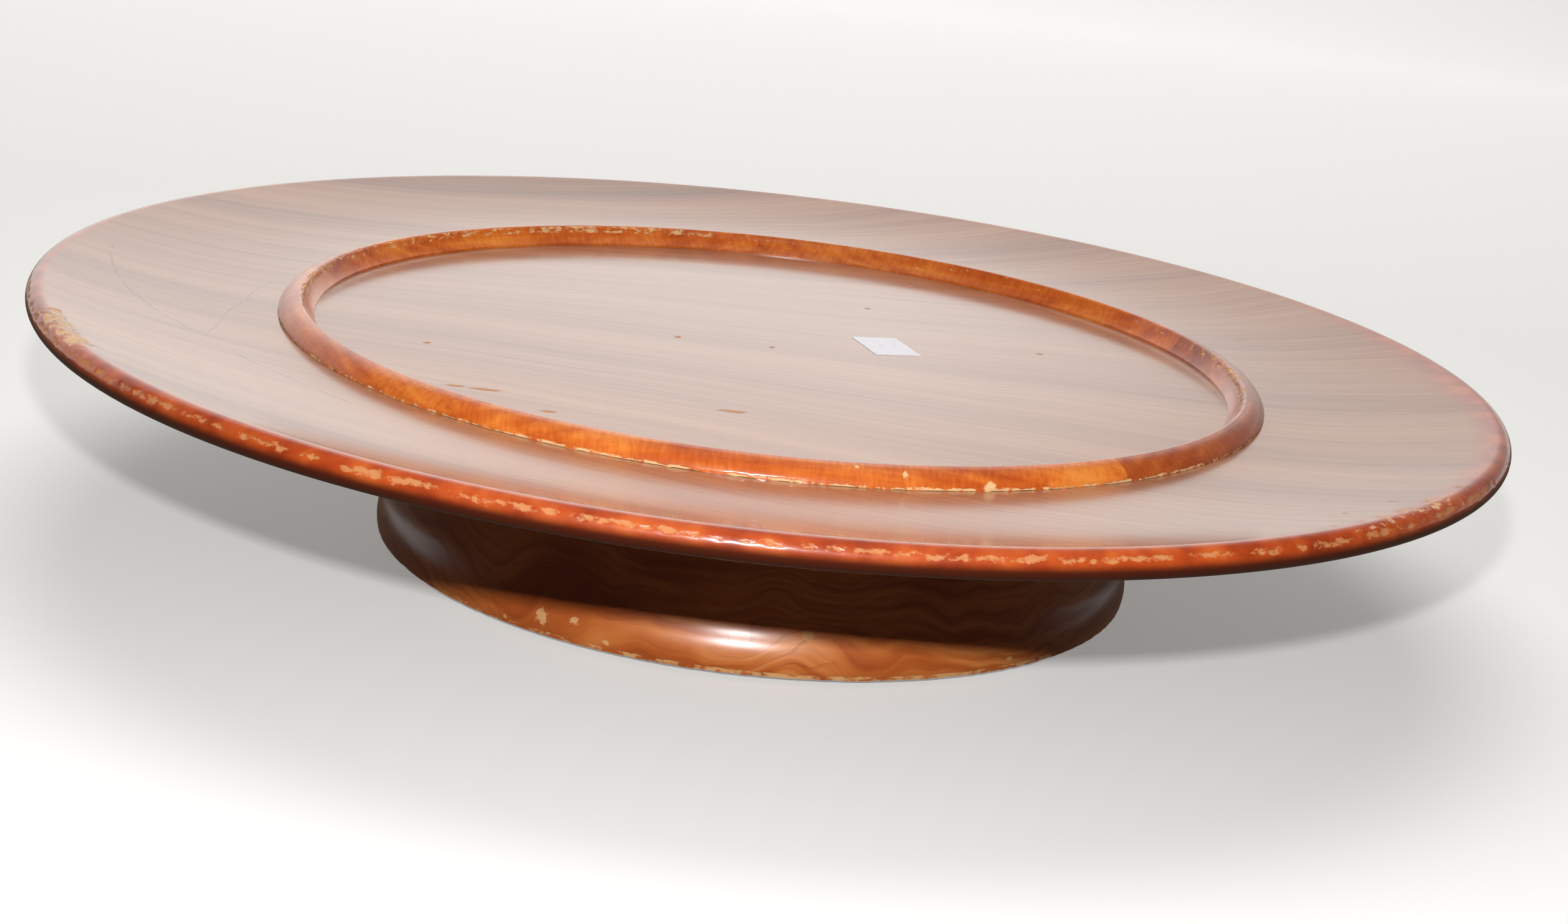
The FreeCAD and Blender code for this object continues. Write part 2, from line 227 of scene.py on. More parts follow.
def finished(name, mesh, finish):
    """An object of the mesh, welded, capped, turned outwards and smooth between edges."""
    shape = bmesh.new()
    shape.from_mesh(mesh)
    bmesh.ops.remove_doubles(shape, verts=shape.verts, dist=weld_distance)
    bmesh.ops.dissolve_degenerate(shape, edges=shape.edges, dist=weld_distance)
    ends = [edge for edge in shape.edges if edge.is_boundary]
    if ends:
        bmesh.ops.holes_fill(shape, edges=ends, sides=0)
    bmesh.ops.recalc_face_normals(shape, faces=shape.faces)
    shape.to_mesh(mesh)
    shape.free()
    mesh.polygons.foreach_set("use_smooth", [True] * len(mesh.polygons))
    mesh.set_sharp_from_angle(angle=smooth_below)
    mesh.materials.clear()
    mesh.materials.append(finish)
    mesh.name = name
    piece = bpy.data.objects.new(name, mesh)
    bpy.context.scene.collection.objects.link(piece)
    return piece


def arc(centre, radius, first, last, count, zone_a=0.0, zone_b=0.0):
    """Profile points along a circle, from one angle to another in degrees."""
    angles = [math.radians(first + (last - first) * i / count) for i in range(count + 1)]
    return [(centre[0] + radius * math.cos(t), centre[1] + radius * math.sin(t),
             zone_a, zone_b) for t in angles]


def arc_through(start, middle, end, count, zone_a=0.0, zone_b=0.0):
    """Profile points along the circle through three points."""
    a, b, c = (complex(*point) for point in (start, middle, end))
    w = (c - a) / (b - a)
    centre = (b - a) * (w - abs(w)**2) / (2j * w.imag) + a
    first, half, last = (math.degrees(math.atan2((p - centre).imag, (p - centre).real))
                         for p in (a, b, c))
    turn = (last - first + 180) % 360 - 180
    return arc((centre.real, centre.imag), abs(a - centre), first, first + turn, count,
               zone_a, zone_b)


def new_finish(name):
    """A material with its tree, its shader and the object's own coordinates."""
    material = bpy.data.materials.new(name)
    material.use_nodes = True
    tree = material.node_tree
    place = add(tree, "ShaderNodeTexCoord").outputs["Object"]
    return material, tree, tree.nodes["Principled BSDF"], place


def spot(tree, place, centre, size, ragged=0.5):
    """1 inside a ragged blob with these half sizes, falling to 0 at its edge."""
    near = add(tree, "ShaderNodeVectorMath", {0: place, 1: centre}, operation="SUBTRACT")
    unit = add(tree, "ShaderNodeVectorMath", {0: near, 1: size}, operation="DIVIDE")
    away = add(tree, "ShaderNodeVectorMath", {0: unit}, operation="LENGTH").outputs["Value"]
    noise = add(tree, "ShaderNodeTexNoise", {"Vector": unit, "Scale": 1.6, "Detail": 3.0})
    push = ragged * 4
    rough = add(tree, "ShaderNodeMath", {0: noise, 1: push, 2: away}, operation="MULTIPLY_ADD")
    # The noise averages a half, so the blob's edge lies where its mean push leaves it.
    outer = 1 + push / 2
    soft_edge = 0.3
    return add(tree, "ShaderNodeMapRange", {
        "Value": rough, "From Min": outer, "From Max": outer - soft_edge})


def most(tree, masks):
    """The strongest of several masks."""
    best = masks[0]
    for mask in masks[1:]:
        best = add(tree, "ShaderNodeMath", {0: best, 1: mask}, operation="MAXIMUM")
    return best


def around(radius, azimuth, height):
    """A point at a distance and azimuth about the spin axis."""
    turn = math.radians(azimuth)
    return (radius * math.cos(turn), radius * math.sin(turn), height)


def wear_of(tree, place, size):
    """The chips of both wear zones, in the same pattern as the dents in the mesh."""
    broken = [chips(tree, place, size, add(tree, "ShaderNodeAttribute", attribute_name=zone)
                    .outputs["Fac"]) for zone in ("wear_a", "wear_b")]
    return most(tree, broken)


def lacquer(tree, shader, colour, worn, worn_colour, height, under_gloss=0.15):
    """Wood under clear lacquer: bare, dull wood shows in the chips."""
    skin = add(tree, "ShaderNodeMixRGB", {"Fac": worn, "Color1": colour, "Color2": worn_colour})
    tree.links.new(skin.outputs[0], shader.inputs["Base Color"])
    dull = add(tree, "ShaderNodeMapRange", {"Value": worn, "To Min": 0.42, "To Max": 0.75})
    tree.links.new(dull.outputs[0], shader.inputs["Roughness"])
    film = add(tree, "ShaderNodeMapRange", {"Value": worn, "To Min": 1.0, "To Max": 0.05})
    tree.links.new(film.outputs[0], shader.inputs["Coat Weight"])
    shader.inputs["Specular IOR Level"].default_value = under_gloss
    shader.inputs["Coat IOR"].default_value = 1.5
    dent = add(tree, "ShaderNodeMath", {0: height, 1: worn}, operation="SUBTRACT")
    relief = add(tree, "ShaderNodeBump", {"Height": dent, "Strength": 0.25, "Distance": 0.0002})
    tree.links.new(relief.outputs[0], shader.inputs["Normal"])
    tree.links.new(relief.outputs[0], shader.inputs["Coat Normal"])


# Lacquered cherry-toned maple, turned and sprayed: warm orange-tan, swirled figure with
# thin darker growth lines, a clear hard gloss that shows a soft highlight on the bulge.
# Scales are patches per metre: swirls 55 mm across, streaks 3 mm apart and 75 mm long.
cherry, tree, shader, place = new_finish("lacquered_cherry_maple")
swirl_bend = 0.045
swirl = add(tree, "ShaderNodeTexNoise", {"Vector": place, "Scale": 18.0, "Detail": 2.5})
bent = add(tree, "ShaderNodeVectorMath", {
    0: add(tree, "ShaderNodeVectorMath", {0: swirl.outputs["Color"], 1: (0.5, 0.5, 0.5)},
           operation="SUBTRACT"), "Scale": swirl_bend}, operation="SCALE")
ring_place = add(tree, "ShaderNodeMapping", {
    "Vector": add(tree, "ShaderNodeVectorMath", {0: place, 1: bent}, operation="ADD"),
    "Location": (0.0, 0.03, 0.05), "Scale": (0.3, 1.0, 1.7)})
rings = add(tree, "ShaderNodeTexWave", {
    "Vector": ring_place, "Scale": 74.0, "Distortion": 5.0, "Detail": 3.0,
    "Detail Scale": 1.6}, wave_type="RINGS", rings_direction="X", wave_profile="SAW")
line = add(tree, "ShaderNodeMapRange", {
    "Value": rings.outputs["Fac"], "From Min": 0.78, "From Max": 1.0},
    interpolation_type="SMOOTHSTEP")
patchy = add(tree, "ShaderNodeTexNoise", {"Vector": place, "Scale": 17.0, "Detail": 2.0})
line_here = add(tree, "ShaderNodeMapRange", {
    "Value": patchy, "From Min": 0.44, "From Max": 0.60, "To Max": 0.42})
streak_place = add(tree, "ShaderNodeMapping", {
    "Vector": add(tree, "ShaderNodeVectorMath", {0: place, 1: bent}, operation="ADD"),
    "Scale": (13.0, 13.0, 300.0)})
streaks = add(tree, "ShaderNodeTexNoise", {"Vector": streak_place, "Scale": 1.0, "Detail": 5.0})
cloud = add(tree, "ShaderNodeTexNoise", {"Vector": place, "Scale": 30.0, "Detail": 3.0})
mix = add(tree, "ShaderNodeMath", {0: streaks, 1: 0.62, 2: add(tree, "ShaderNodeMath", {
    0: cloud, 1: 0.38}, operation="MULTIPLY")}, operation="MULTIPLY_ADD")
wood = add(tree, "ShaderNodeValToRGB", {"Fac": mix}, stops=[
    (0.38, "#96441A"), (0.47, "#AE5824"), (0.54, "#C06C32"), (0.64, "#D0844A")])
lined = add(tree, "ShaderNodeMixRGB", {
    "Fac": add(tree, "ShaderNodeMath", {0: line, 1: line_here}, operation="MULTIPLY"),
    "Color1": wood, "Color2": linear("#6E2E10")})
# Nicks in the lacquer: one broad bruise, a ring-shaped one, and a few small ones.  Beside
# the bruise is one more pale spot, which is a painted highlight smear and not a nick.
ring_nick_place = around(drum_radius - 0.0015, -81, 0.0145)
ring_nick_radius = 0.0017
ring_nick_width = 0.0005
ring_nick_strength = 0.45
nick_strength = 0.65
ring_nick = add(tree, "ShaderNodeVectorMath", {0: place, 1: ring_nick_place},
                operation="DISTANCE")
ring_gap = add(tree, "ShaderNodeMath", {
    0: ring_nick.outputs["Value"], 1: ring_nick_radius, 2: ring_nick_width},
    operation="COMPARE")
nicks_and_painted_highlight = [spot(tree, place, around(drum_radius, azimuth, height), (size, size, size * tall))
         for azimuth, height, size, tall in (
             # The second spot, at -113 degrees, is a painted highlight: a pale smear of light on
             # the bulge.
             (-118, 0.0070, 0.0024, 1.0), (-113, 0.0085, 0.0016, 0.7),
             (-97, 0.0135, 0.0011, 0.6), (-108, 0.0045, 0.0013, 0.6),
             (-124, 0.0035, 0.0008, 0.8), (-72, 0.0120, 0.0008, 0.7),
             (-140, 0.0100, 0.0010, 0.8), (-50, 0.0050, 0.0012, 0.6),
             (60, 0.0120, 0.0018, 0.8), (150, 0.0300, 0.0015, 1.4), (15, 0.0060, 0.0016, 0.7))]
ring_mark = add(tree, "ShaderNodeMath", {0: ring_gap, 1: ring_nick_strength},
                operation="MULTIPLY")
nicked_and_painted_highlight = most(tree, nicks_and_painted_highlight + [ring_mark, wear_of(tree, place, drum_chip)])
soft_nick_and_highlight = add(tree, "ShaderNodeMath", {0: nicked_and_painted_highlight, 1: nick_strength}, operation="MULTIPLY")
lacquer(tree, shader, lined, soft_nick_and_highlight, linear("#DDB27C"), mix)
shader.inputs["Coat Roughness"].default_value = 0.28

bulge_centre = (drum_radius - bulge_round, drum_bottom + bulge_height)
foot_angle = -math.degrees(math.asin(bulge_height / bulge_round))
hollow_centre = arc(bulge_centre, bulge_round + hollow_round, bulge_end_slope, 0, 1)[0][:2]
waist = (hollow_centre[0] - hollow_round, hollow_centre[1])
flare_height = drum_top - drum_edge_round - waist[1]
flare_round = (flare_height**2 + drum_flare**2) / (2 * drum_flare)
flare_angle = math.degrees(math.asin(flare_height / flare_round))
edge_in = waist[0] + drum_flare - drum_edge_round
drum_profile = [(ledge_radius, drum_bottom, 0, 0)]
rubbed_angle = foot_angle + rubbed_foot
drum_profile += arc(bulge_centre, bulge_round, foot_angle, rubbed_angle, 3, zone_a=1.0)
drum_profile += arc(bulge_centre, bulge_round, rubbed_angle, bulge_end_slope, 16)[1:]
drum_profile += arc(hollow_centre, hollow_round, bulge_end_slope + 180, 180, 8)[1:]
drum_profile += arc((waist[0] + flare_round, waist[1]), flare_round, 180, 180 - flare_angle,
                    20, zone_b=1.0)[1:]
drum_profile += arc((edge_in, drum_top - drum_edge_round), drum_edge_round, 0, 90, 5)[1:]
drum_profile += [(drum_bore_radius, drum_top, 0, 0), (drum_bore_radius, panel_bottom, 0, 0),
                 (ledge_radius, panel_bottom, 0, 0), (ledge_radius, drum_bottom, 0, 0)]
# Wear is given as (azimuth, amount), all the way round.
drum_foot_wear = [(-180, 0.7), (-120, 0.8), (-95, 0.95), (-80, 1.2), (-40, 1.35), (-15, 1.0),
                  (100, 0.7), (180, 0.7)]
drum_waist_wear = [(-180, 0.2), (180, 0.2)]
drum_tree = turned_tree("turned_drum", drum_foot_wear, drum_waist_wear)
drum = turned("drum_wall", drum_tree, drum_profile, drum_steps, cherry,
              chip_size=drum_chip, chip_depth=drum_chip_depth)
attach(drum, "base")
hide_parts("base_drum")

# ---- base panel and its screws
# A round board of bare birch plywood that lies on the drum's ledge, held by six slotted
# brass screws.  It carries the swivel, and has a hole to reach the upper screws.

# Bare birch plywood: pale cream-tan straight grain with short brown flecks, sanded and dull.
# Its fibres are drawn 4 mm apart and 70 mm long, coarser than real ones, so that they show.
birch, tree, shader, place = new_finish("bare_birch_plywood")
birch_place = add(tree, "ShaderNodeMapping", {"Vector": place, "Scale": (14.0, 260.0, 60.0)})
fibres = add(tree, "ShaderNodeTexNoise", {"Vector": birch_place, "Scale": 1.0, "Detail": 4.0})
cloud = add(tree, "ShaderNodeTexNoise", {"Vector": place, "Scale": 22.0, "Detail": 2.0})
mix = add(tree, "ShaderNodeMath", {0: fibres, 1: 0.65, 2: add(tree, "ShaderNodeMath", {
    0: cloud, 1: 0.35}, operation="MULTIPLY")}, operation="MULTIPLY_ADD")
wood = add(tree, "ShaderNodeValToRGB", {"Fac": mix}, stops=[
    (0.34, "#A98459"), (0.48, "#C6A678"), (0.58, "#D3B68A"), (0.68, "#DEC69E")])
fleck_place = add(tree, "ShaderNodeMapping", {"Vector": place, "Scale": (130.0, 900.0, 400.0)})
fleck = add(tree, "ShaderNodeTexNoise", {"Vector": fleck_place, "Scale": 1.0, "Detail": 1.0})
fleck_mask = add(tree, "ShaderNodeMapRange", {
    "Value": fleck, "From Min": 0.66, "From Max": 0.74, "To Max": 0.7})
skin = add(tree, "ShaderNodeMixRGB", {"Fac": fleck_mask, "Color1": wood,
                                      "Color2": linear("#7E5A34")})
tree.links.new(skin.outputs[0], shader.inputs["Base Color"])
relief = add(tree, "ShaderNodeBump", {"Height": mix, "Strength": 0.3, "Distance": 0.0003})
tree.links.new(relief.outputs[0], shader.inputs["Normal"])
shader.inputs["Roughness"].default_value = 0.72


def coat_node(finish, *names):
    """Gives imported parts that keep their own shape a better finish."""
    for name in names:
        mesh = nodes[name].data
        for slot in range(len(mesh.materials)):
            mesh.materials[slot] = finish


# Plain brass: yellow metal dulled to brown, in patches 2 or 3 mm across.
brass, tree, shader, place = new_finish("tarnished_brass")
stain = add(tree, "ShaderNodeTexNoise", {"Vector": place, "Scale": 420.0, "Detail": 4.0})
tint = add(tree, "ShaderNodeValToRGB", {"Fac": stain}, stops=[
    (0.38, "#7D5A26"), (0.52, "#B08A44"), (0.66, "#CBA862")])
dull = add(tree, "ShaderNodeMapRange", {"Value": stain, "To Min": 0.55, "To Max": 0.28})
tree.links.new(tint.outputs[0], shader.inputs["Base Color"])
tree.links.new(dull.outputs[0], shader.inputs["Roughness"])
shader.inputs["Metallic"].default_value = 1.0
coat_node(birch, "base_panel")
coat_node(brass, "panel_screws")

# ---- feet and their tacks
# Four round pads of moulded black rubber pressed into the drum's underside, each held
# by one zinc-plated tack.

# Moulded rubber: near-black brown, matt, with grey dust rubbed into its fine grain.  The
# grain is drawn 1 mm wide, ten times the real one's size, so that it shows.
rubber, tree, shader, place = new_finish("moulded_black_rubber")
grit = add(tree, "ShaderNodeTexNoise", {"Vector": place, "Scale": 900.0, "Detail": 3.0})
dust = add(tree, "ShaderNodeTexNoise", {"Vector": place, "Scale": 160.0, "Detail": 4.0})
tint = add(tree, "ShaderNodeValToRGB", {"Fac": dust}, stops=[
    (0.40, "#1C1A18"), (0.55, "#2B2825"), (0.70, "#4A4540")])
tree.links.new(tint.outputs[0], shader.inputs["Base Color"])
relief = add(tree, "ShaderNodeBump", {"Height": grit, "Strength": 0.4, "Distance": 0.0002})
tree.links.new(relief.outputs[0], shader.inputs["Normal"])
shader.inputs["Roughness"].default_value = 0.82
coat_node(rubber, "foot_1", "foot_2", "foot_3", "foot_4")

# Zinc-plated pressed steel: grey with a faint yellow passivate and a cloudy spangle of
# cells 4 mm across.
zinc, tree, shader, place = new_finish("zinc_plated_steel")
spangle = add(tree, "ShaderNodeTexVoronoi", {"Vector": place, "Scale": 260.0})
haze = add(tree, "ShaderNodeTexNoise", {"Vector": place, "Scale": 60.0, "Detail": 5.0})
blend = add(tree, "ShaderNodeMixRGB", {"Fac": 0.35, "Color1": haze,
                                       "Color2": spangle.outputs["Distance"]})
tint = add(tree, "ShaderNodeValToRGB", {"Fac": blend}, stops=[
    (0.30, "#8E8B80"), (0.50, "#A9A699"), (0.70, "#BDBAAD")])
dull = add(tree, "ShaderNodeMapRange", {"Value": haze, "To Min": 0.28, "To Max": 0.5})
tree.links.new(tint.outputs[0], shader.inputs["Base Color"])
tree.links.new(dull.outputs[0], shader.inputs["Roughness"])
shader.inputs["Metallic"].default_value = 1.0
coat_node(zinc, "foot_tacks")

# ---- swivel
# Two pressed plates held together by a hollow rivet, with steel balls in a brass cage
# between them.  The lower plate is screwed to the panel and the upper one to the block.

# Polished bearing steel: bright and mirror-like, with a thin film of old grease.
bearing, tree, shader, place = new_finish("polished_bearing_steel")
grease = add(tree, "ShaderNodeTexNoise", {"Vector": place, "Scale": 300.0, "Detail": 3.0})
tint = add(tree, "ShaderNodeValToRGB", {"Fac": grease}, stops=[
    (0.40, "#B9B9B6"), (0.65, "#A19A88")])
dull = add(tree, "ShaderNodeMapRange", {"Value": grease, "To Min": 0.08, "To Max": 0.30})
tree.links.new(tint.outputs[0], shader.inputs["Base Color"])
tree.links.new(dull.outputs[0], shader.inputs["Roughness"])
shader.inputs["Metallic"].default_value = 1.0
coat_node(bearing, "swivel_balls")
coat_node(zinc, "swivel_lower_plate", "swivel_upper_plate", "swivel_rivet")
coat_node(brass, "ball_cage", "lower_plate_screws", "upper_plate_screws")

# ---- mounting block
# A round block of the same bare plywood, glued under the tray board, because the thin
# board could not hold the swivel's screws.
coat_node(birch, "mounting_block")

# ---- tray board
# One round board, level in the middle and dished up to a rounded edge, faced in
# walnut and sprayed with lacquer that is toned orange-red along the edge.
tray_low, tray_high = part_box("tray_board")
tray_radius = min(tray_high.x, tray_high.y, -tray_low.x, -tray_low.y)
board_bottom = tray_low.z
board_thickness = 0.008
step_height = 0.0012
shoulder_level = board_bottom + board_thickness
field_level = shoulder_level - step_height
edge_slope = 12.9
edge_round = board_thickness / 2
bead_outer_radius = 0.1555
bead_inner_radius = 0.1445
step_radius = 0.1485
tray_steps = 1700
rim_chip = 0.0021
rim_chip_depth = 0.00022
dish_end_radius = tray_radius - edge_round * (1 + math.sin(math.radians(edge_slope)))
dish_radius = (dish_end_radius - step_radius) / math.sin(math.radians(edge_slope))
dish_centre = (step_radius, shoulder_level + dish_radius)
dish_end = -90 + edge_slope
edge_centre = arc(dish_centre, dish_radius + edge_round, dish_end, dish_end, 1)[0][:2]


def board_level(radius):
    """Height of the dished top face at a distance from the spin axis."""
    return dish_centre[1] - math.sqrt(dish_radius**2 - (radius - step_radius)**2)


# Walnut-faced board under lacquer: quiet straight grain in grey-brown bands and fine
# lines that fan a little, a satin gloss, and an orange-red toner sprayed on the edge.
# Bands are 30 mm wide and lines 2 mm.  Pores are drawn 0.7 mm wide, so that they show.
walnut, tree, shader, place = new_finish("lacquered_walnut")
part = add(tree, "ShaderNodeSeparateXYZ", {0: place})
x, y, z = (part.outputs[axis] for axis in "XYZ")
fan_length = 0.45
grain_drift = 0.022
fan = add(tree, "ShaderNodeMath", {0: x, 1: 1 / fan_length, 2: 1.0}, operation="MULTIPLY_ADD")
across = add(tree, "ShaderNodeMath", {0: y, 1: fan}, operation="DIVIDE")
drift = add(tree, "ShaderNodeTexNoise", {"Vector": place, "Scale": 7.0, "Detail": 2.0})
wavy = add(tree, "ShaderNodeMath", {0: drift, 1: grain_drift, 2: across}, operation="MULTIPLY_ADD")


def grain(tree, along_scale, across_scale, detail):
    """Streaks along the board: scales are cycles per metre."""
    long_way = add(tree, "ShaderNodeMath", {0: x, 1: along_scale}, operation="MULTIPLY")
    short_way = add(tree, "ShaderNodeMath", {0: wavy, 1: across_scale}, operation="MULTIPLY")
    streak = add(tree, "ShaderNodeCombineXYZ", {0: long_way, 1: short_way})
    return add(tree, "ShaderNodeTexNoise", {
        "Vector": streak, "Scale": 1.0, "Detail": detail, "Roughness": 0.55})


bands = grain(tree, 1.6, 34.0, 3.0)
lines = grain(tree, 9.0, 520.0, 3.0)
pores = grain(tree, 60.0, 1500.0, 1.0)
mix = add(tree, "ShaderNodeMath", {0: bands, 1: 0.68, 2: add(tree, "ShaderNodeMath", {
    0: lines, 1: 0.32}, operation="MULTIPLY")}, operation="MULTIPLY_ADD")
wood = add(tree, "ShaderNodeValToRGB", {"Fac": mix}, stops=[
    (0.34, "#7E5036"), (0.45, "#986446"), (0.55, "#A57252"), (0.68, "#B4835E")])
pore = add(tree, "ShaderNodeMapRange", {
    "Value": pores, "From Min": 0.62, "From Max": 0.72, "To Max": 0.22})
wood = add(tree, "ShaderNodeMixRGB", {"Fac": pore, "Color1": wood, "Color2": linear("#4A2A1C")})


def scratch(tree, centre, radius, first, last, width):
    """A hairline along an arc about a point of the tray, broken here and there."""
    wander_width = 0.004
    flat = add(tree, "ShaderNodeCombineXYZ", {0: x, 1: y})
    out = add(tree, "ShaderNodeVectorMath", {0: flat, 1: centre + (0.0,)}, operation="SUBTRACT")
    away = add(tree, "ShaderNodeVectorMath", {0: out}, operation="LENGTH").outputs["Value"]
    off = add(tree, "ShaderNodeMath", {0: away, 1: radius}, operation="SUBTRACT")
    wander = add(tree, "ShaderNodeTexNoise", {"Vector": place, "Scale": 60.0, "Detail": 2.0})
    off = add(tree, "ShaderNodeMath", {0: wander, 1: wander_width, 2: off},
              operation="MULTIPLY_ADD")
    off = add(tree, "ShaderNodeMath", {0: off, 1: wander_width / 2}, operation="SUBTRACT")
    near = add(tree, "ShaderNodeMath", {0: off}, operation="ABSOLUTE")
    near = add(tree, "ShaderNodeMapRange", {"Value": near, "From Min": width, "From Max": 0.0})
    middle = math.radians((first + last) / 2)
    way = (math.cos(middle), math.sin(middle), 0.0)
    unit = add(tree, "ShaderNodeVectorMath", {0: out}, operation="NORMALIZE")
    inside = add(tree, "ShaderNodeVectorMath", {0: unit, 1: way}, operation="DOT_PRODUCT")
    limit = math.cos(math.radians(abs(last - first) / 2))
    here = add(tree, "ShaderNodeMath", {0: inside.outputs["Value"], 1: limit},
               operation="GREATER_THAN")
    gaps = add(tree, "ShaderNodeTexNoise", {"Vector": place, "Scale": 160.0})
    kept = add(tree, "ShaderNodeMapRange", {"Value": gaps, "From Min": 0.36, "From Max": 0.5})
    both = add(tree, "ShaderNodeMath", {0: near, 1: here}, operation="MULTIPLY")
    return add(tree, "ShaderNodeMath", {0: both, 1: kept}, operation="MULTIPLY")


# Hairline scratches on the dished band, and small bruises: two of those lie out on the band.
hairlines = most(tree, [
    scratch(tree, (-0.073, 0.034), 0.144, -168, -128, 0.0007),
    scratch(tree, (0.215, 0.265), 0.512, -136, -129.5, 0.0006),
    scratch(tree, (0.280, -0.036), 0.444, 175, 185.5, 0.0006)])
wood = add(tree, "ShaderNodeMixRGB", {
    "Fac": add(tree, "ShaderNodeMath", {0: hairlines, 1: 0.6}, operation="MULTIPLY"),
    "Color1": wood, "Color2": linear("#4C2818")})
bruise_reach = 0.01
bruises = most(tree, [spot(tree, place, (bx, by, field_level), (long, wide, bruise_reach))
                      for bx, by, long, wide in (
    (-0.0095, -0.0870, 0.0045, 0.0013), (-0.0793, -0.0935, 0.0050, 0.0012),
    (-0.0880, -0.0930, 0.0030, 0.0010), (-0.0597, -0.1090, 0.0025, 0.0012),
    (0.0469, 0.1166, 0.0018, 0.0014), (-0.1036, -0.0475, 0.0012, 0.0012),
    (-0.0306, -0.0040, 0.0012, 0.0014), (-0.0005, -0.0034, 0.0010, 0.0012),
    (0.0880, 0.0300, 0.0014, 0.0010), (0.0310, 0.0700, 0.0012, 0.0010),
    (0.1531, -0.1468, 0.0012, 0.0010), (0.1689, -0.1315, 0.0022, 0.0007))])
radius = add(tree, "ShaderNodeVectorMath", {
    0: add(tree, "ShaderNodeCombineXYZ", {0: x, 1: y})}, operation="LENGTH").outputs["Value"]
# The toner starts further in at the two sides than at the front and the back, and further
# in at the right than at the left.  It wanders a little, but never starts past spray_last.
spray_side = tray_radius - 0.0040
spray_front = tray_radius + 0.0015
spray_last = tray_radius - 0.0062
spray_full = tray_radius - 0.0035
shade_from = edge_centre[1] + 0.0015
shade_full = edge_centre[1] - 0.0012
wear_strength = 0.9
spray_drift = add(tree, "ShaderNodeTexNoise", {"Vector": place, "Scale": 9.0, "Detail": 1.0})
spray_lean = add(tree, "ShaderNodeMapRange", {
    "Value": add(tree, "ShaderNodeMath", {0: y}, operation="ABSOLUTE"),
    "From Min": 0.0, "From Max": 0.2, "To Min": spray_side, "To Max": spray_front})
spray_start = add(tree, "ShaderNodeMath", {0: x, 1: -0.022, 2: spray_lean},
                  operation="MULTIPLY_ADD")
spray_start = add(tree, "ShaderNodeMath", {
    0: spray_drift, 1: -0.012, 2: spray_start}, operation="MULTIPLY_ADD")
spray_start = add(tree, "ShaderNodeMath", {0: spray_start, 1: spray_last},
                  operation="MINIMUM")
toned = add(tree, "ShaderNodeMapRange", {
    "Value": radius, "From Min": spray_start, "From Max": spray_full},
    interpolation_type="SMOOTHSTEP")
# Painted shade: below the middle of the rounded edge the toner turns dark brown. This stands in
# for the shade that the edge's lower half falls into, and is not the toner's own colour.
painted_shade_low_edge = add(tree, "ShaderNodeMapRange", {
    "Value": z, "From Min": shade_from, "From Max": shade_full},
    interpolation_type="SMOOTHSTEP")
patchy = add(tree, "ShaderNodeTexNoise", {"Vector": place, "Scale": 90.0, "Detail": 4.0})
high_toner = add(tree, "ShaderNodeValToRGB", {"Fac": patchy}, stops=[
    (0.35, "#943410"), (0.5, "#AE4416"), (0.65, "#C25A22")])
toner_and_painted_shade = add(tree, "ShaderNodeMixRGB", {
    "Fac": painted_shade_low_edge, "Color1": high_toner, "Color2": linear("#4E1C0B")})
thin_coat = add(tree, "ShaderNodeMapRange", {
    "Value": y, "From Min": 0.0, "From Max": 0.15, "To Min": 1.0, "To Max": 0.4})
toned = add(tree, "ShaderNodeMath", {0: toned, 1: thin_coat}, operation="MULTIPLY")
wood = add(tree, "ShaderNodeMixRGB", {"Fac": toned, "Color1": wood, "Color2": toner_and_painted_shade})
scuffed = add(tree, "ShaderNodeMath", {0: wear_of(tree, place, rim_chip), 1: wear_strength},
              operation="MULTIPLY")
pale_bruise = add(tree, "ShaderNodeMath", {0: bruises, 1: wear_strength},
                  operation="MULTIPLY")
worn = most(tree, [scuffed, pale_bruise])
rubbed = add(tree, "ShaderNodeMapRange", {
    "Value": add(tree, "ShaderNodeAttribute", attribute_name="wear_b").outputs["Fac"],
    "From Min": 0.4, "From Max": 1.0})
bare = add(tree, "ShaderNodeMixRGB", {"Fac": rubbed, "Color1": linear("#C48452"),
                                      "Color2": linear("#E2BE94")})
lacquer(tree, shader, wood, worn, bare, mix, under_gloss=0.24)
shader.inputs["Coat Roughness"].default_value = 0.14

flat_radii = (0, 0.05, 0.1, step_radius)
edge_points = 26
worn_line = 34.0
worn_spread = 24.0
worn_top = 50
rim_band = 0.4
tray_profile = [(r, board_bottom, 0, 0) for r in flat_radii]
tray_profile += arc(dish_centre, dish_radius + board_thickness, -90, dish_end, 6)[1:]
edge_turns = [dish_end + 180 * i / edge_points for i in range(1, edge_points + 1)]
for turn in edge_turns:
    band = math.exp(-((turn - worn_line) / worn_spread)**2)
    tray_profile += arc(edge_centre, edge_round, turn, turn, 1, zone_a=band,
                        zone_b=1.0 if turn > worn_top else 0.0)[:1]
band_end = dish_end - rim_band
fade_end = dish_end - 2 * rim_band
tray_profile += arc(dish_centre, dish_radius, dish_end, band_end, 2, zone_b=1.0)[1:]
tray_profile += arc(dish_centre, dish_radius, band_end, fade_end, 2, zone_b=0.4)[1:]
tray_profile += arc(dish_centre, dish_radius, fade_end, -90, 8)[1:]
tray_profile += [(r, field_level, 0, 0) for r in reversed(flat_radii)]
tray_profile = [(r, min(h, tray_high.z), a, b) for r, h, a, b in tray_profile]
